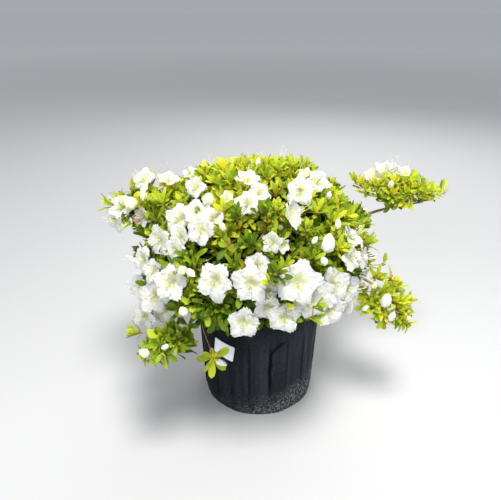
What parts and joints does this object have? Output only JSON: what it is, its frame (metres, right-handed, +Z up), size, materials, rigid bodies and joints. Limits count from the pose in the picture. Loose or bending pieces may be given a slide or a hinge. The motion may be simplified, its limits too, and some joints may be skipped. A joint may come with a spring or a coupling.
{
  "type": "potted azalea shrub",
  "caption": "White-flowered azalea shrub in a black ribbed nursery pot, with a short trunk, tapering boughs and separate masses of leaves and flowers.",
  "frame": {"origin": "middle of the pot's flat underside, on the ground", "axes": "+Z up, +X to the right of the front view along the shrub's longest spread, and the front faces -Y"},
  "size_m": [0.6644, 0.497, 0.5221],
  "materials": {
    "pot": "matte black moulded plastic, dusty, with dried splashes near the base",
    "soil": "moist milled bark potting mix",
    "label": "blank white satin label",
    "bark": "rough brown bark, paler and redder on young twigs",
    "foliage": "satin yellow-green leaves, darker inside the crown",
    "petals": "soft white petals, pale yellow-green in the throat"
  },
  "bodies": {
    "root": {"bough_back": "bark", "bough_back_left": "bark", "bough_back_right": "bark", "bough_crown_back": "bark", "bough_crown_left": "bark", "bough_crown_right": "bark", "bough_front": "bark", "bough_front_left": "bark", "bough_front_right": "bark", "bough_leader": "bark", "bough_left": "bark", "bough_long_right": "bark", "bough_lower_left": "bark", "bough_lower_right": "bark", "bough_right": "bark", "bough_upper_left": "bark", "foliage_back": "foliage", "foliage_back_left": "foliage", "foliage_back_right": "foliage", "foliage_crown_back": "foliage", "foliage_crown_left": "foliage", "foliage_crown_right": "foliage", "foliage_front": "foliage", "foliage_front_left": "foliage", "foliage_front_right": "foliage", "foliage_leader": "foliage", "foliage_left": "foliage", "foliage_long_right": "foliage", "foliage_lower_left": "foliage", "foliage_lower_right": "foliage", "foliage_right": "foliage", "foliage_upper_left": "foliage", "label": "label", "pot": "pot", "soil": "soil", "trunk": "bark"}
  },
  "joints": []
}
